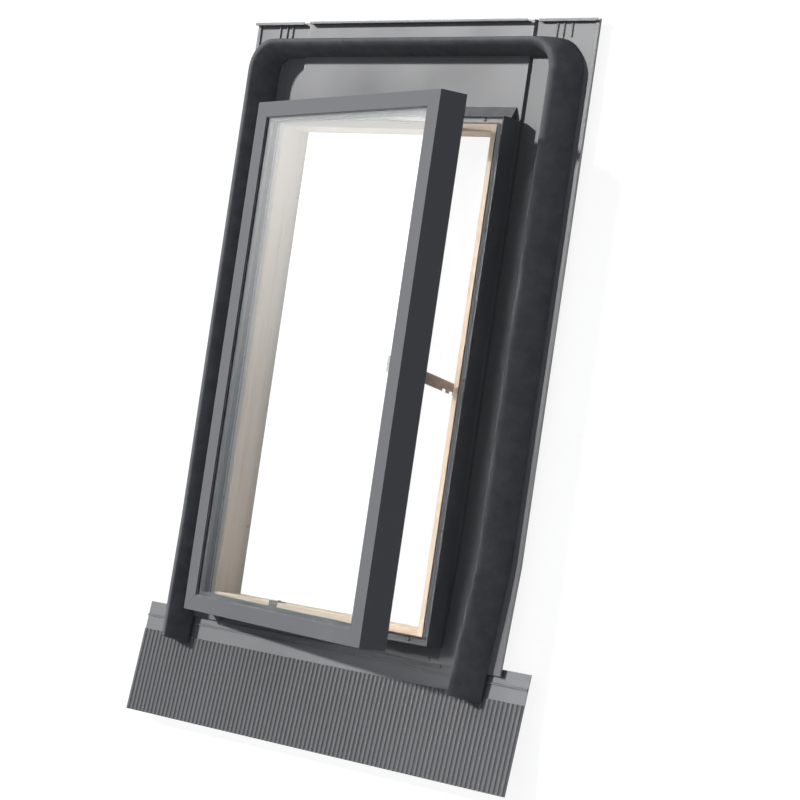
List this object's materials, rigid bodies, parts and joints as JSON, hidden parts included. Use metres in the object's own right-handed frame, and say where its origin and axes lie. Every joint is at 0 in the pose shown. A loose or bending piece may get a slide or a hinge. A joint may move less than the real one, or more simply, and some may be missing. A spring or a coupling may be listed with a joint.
{
  "type": "roof skylight",
  "caption": "Roof skylight with a hinged glazed metal sash held open by a stay, timber frame, grey flashing, U-shaped foam collar and pleated apron.",
  "frame": {"origin": "centre of the bounding box across the opening and along the slope, at the underside of the timber frame", "axes": "+X across the opening from the hinge side to the stay side, +Y up the roof slope, +Z out of the roof"},
  "size_m": [0.85, 1.114, 0.1931],
  "materials": {
    "pine": "varnished pine, fine straight grain",
    "cover_metal": "satin folded aluminium",
    "flashing_metal": "matt grey coated sheet",
    "apron_metal": "matt grey pleated sheet",
    "sash_metal": "fine matt dark grey powder coat",
    "inner_metal": "mill finish",
    "foam": "dense closed-cell foam, matt",
    "strip_foam": "grey foam strip, matt",
    "seal": "matt black rubber",
    "glass_clear": "clear float glass",
    "zinc": "zinc plated steel, slightly dull",
    "keeper_metal": "grey plated steel"
  },
  "bodies": {
    "frame": {"board_left": "pine", "board_right": "pine", "board_top": "pine", "board_bottom": "pine", "cover_left": "cover_metal", "cover_right": "cover_metal", "cover_top": "cover_metal", "cover_bottom": "cover_metal", "head_flashing": "flashing_metal", "side_flashing_left": "flashing_metal", "side_flashing_right": "flashing_metal", "sill_flashing": "flashing_metal", "pleated_apron": "apron_metal", "frame_seal": "seal", "gutter_strip": "strip_foam", "foam_collar": "foam", "hinge_frame_leaves": "zinc", "hinge_pins": "zinc", "stay_peg": "zinc", "peg_plate": "zinc", "keeper": "keeper_metal", "cover_screws": "zinc", "hinge_screws": "zinc", "peg_screws": "zinc", "keeper_screw": "zinc", "sill_screws": "zinc"},
    "sash": {"sash_stile_left": "sash_metal", "sash_stile_right": "sash_metal", "sash_rail_top": "sash_metal", "sash_rail_bottom": "sash_metal", "corner_keys": "inner_metal", "glass_spacer": "inner_metal", "outer_pane": "glass_clear", "inner_pane": "glass_clear", "glazing_seal": "seal", "edge_seal": "seal", "hinge_sash_leaves": "zinc", "stay_bracket": "zinc", "stay_pin": "zinc"},
    "link": {"stay_link": "zinc", "stay_rivet": "zinc"},
    "bar": {"stay_bar": "zinc"}
  },
  "joints": [
    {"name": "sash_hinge", "type": "hinge", "parent": "frame", "child": "sash", "pos_m": [-0.268, 0.019, 0.0505], "axis": [0, -1, 0], "range_deg": [-13.13, 76.87]},
    {"name": "stay_tilt", "type": "hinge", "parent": "sash", "child": "link", "pos_m": [0.20489, 0.0245, 0.15824], "axis": [0, -1, 0], "range_deg": [-76.87, 13.13]},
    {"name": "stay_swing", "type": "hinge", "parent": "link", "child": "bar", "pos_m": [0.20489, 0.0245, 0.14524], "axis": [1, 0, 0], "range_deg": [0, 80]}
  ],
  "couplings": [
    {"joint": "stay_tilt", "follows": "sash_hinge", "ratio": -1}
  ]
}
